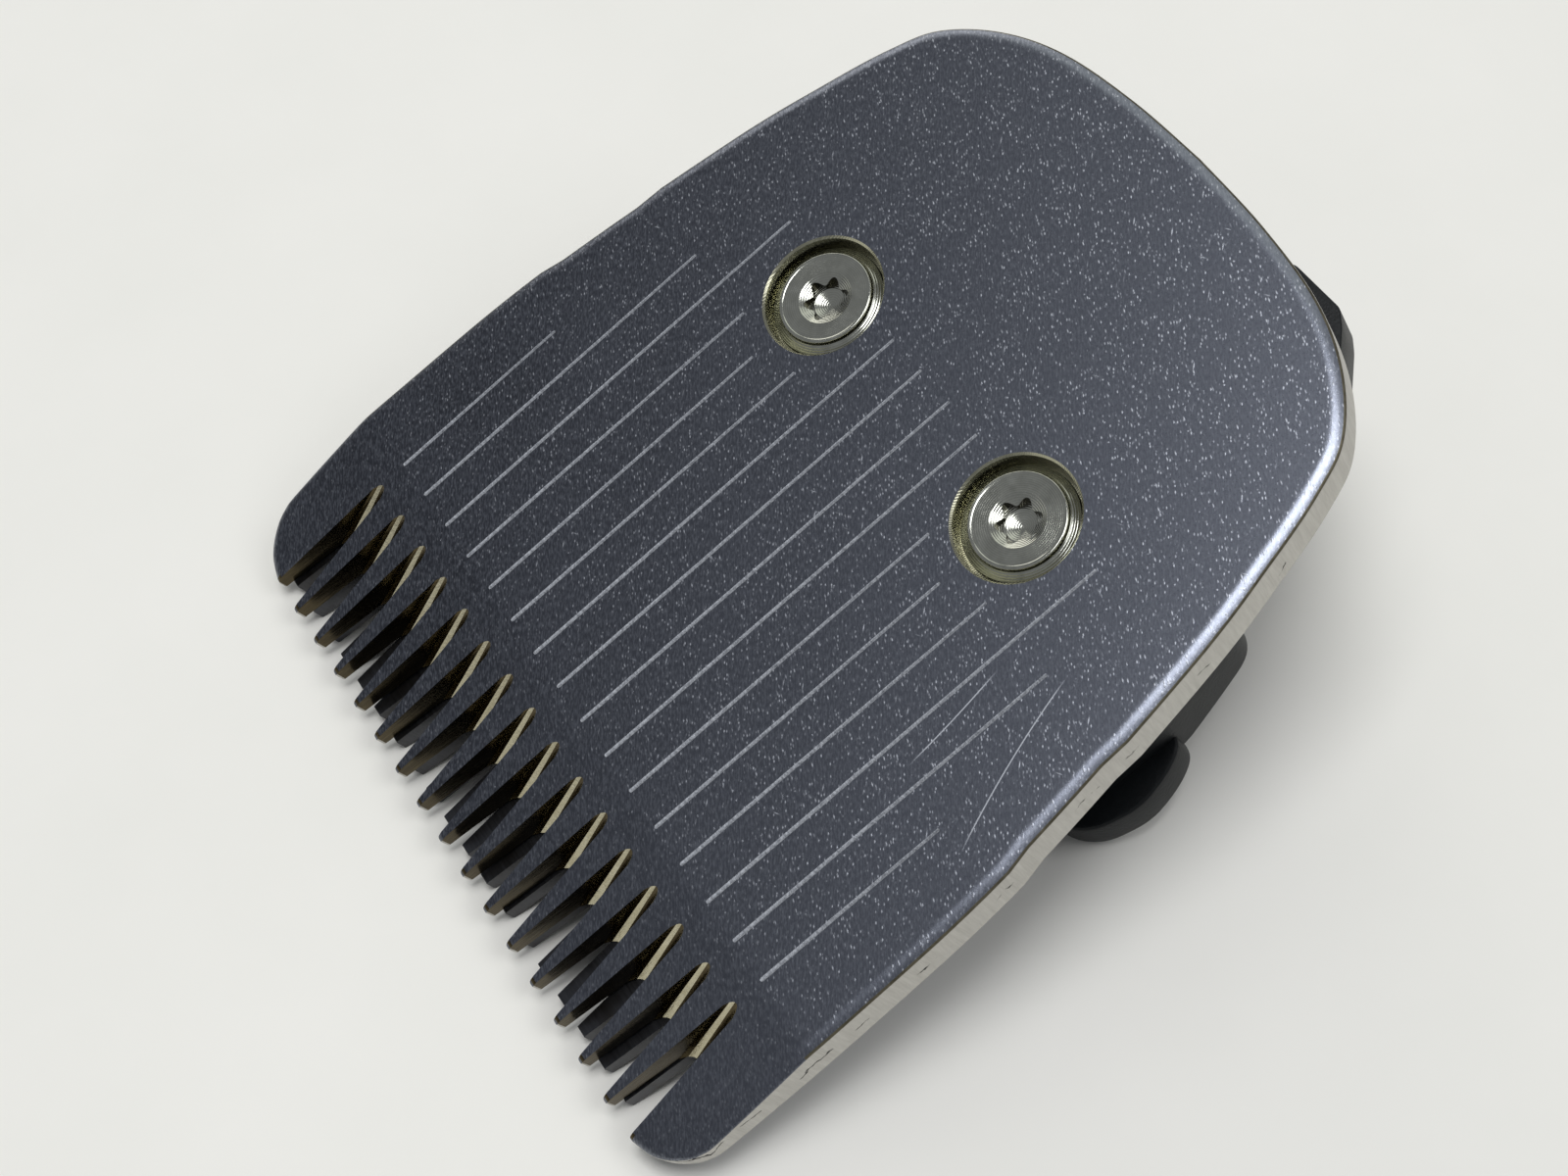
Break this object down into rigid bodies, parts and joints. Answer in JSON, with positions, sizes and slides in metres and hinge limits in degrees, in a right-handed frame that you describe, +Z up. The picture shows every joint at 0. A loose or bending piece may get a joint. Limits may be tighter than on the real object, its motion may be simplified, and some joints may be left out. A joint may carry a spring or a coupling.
{
  "type": "hair clipper blade head",
  "caption": "Detachable clipper head: thick steel guard comb plate with a tooth row, sliding steel cutter and drive bridge, wire spring and a black plastic base with hooks.",
  "frame": {"origin": "middle of the underside of the head's box, as the head lies on its cutter tips and side hooks", "axes": "+X along the row of teeth, +Y from the teeth to the rear, +Z up; the guard plate is tilted 22 degrees, rear up"},
  "size_m": [0.0412, 0.046, 0.0202],
  "materials": {
    "blade_steel": "polished dark stainless with fine scratches, frosted guide lines",
    "cutter_steel": "ground",
    "rivet_steel": "satin",
    "spring_steel": "drawn wire",
    "screw_steel": "bright turned",
    "brass_insert": "knurled",
    "black_plastic": "fine moulded texture",
    "grey_plastic": "smooth acetal"
  },
  "bodies": {
    "head": {"guard_plate": "blade_steel", "carrier_frame": "black_plastic", "coupling_base": "black_plastic", "screw_left": "screw_steel", "screw_right": "screw_steel", "insert_left": "brass_insert", "insert_right": "brass_insert", "pressure_spring": "spring_steel"},
    "cutter": {"moving_cutter": "cutter_steel", "drive_bridge": "grey_plastic", "cutter_rivet_left": "rivet_steel", "cutter_rivet_right": "rivet_steel"}
  },
  "joints": [
    {"name": "cutter_slide", "type": "slide", "parent": "head", "child": "cutter", "axis": [1, 0, 0], "range_m": [-0.0002, 0.0022]}
  ]
}
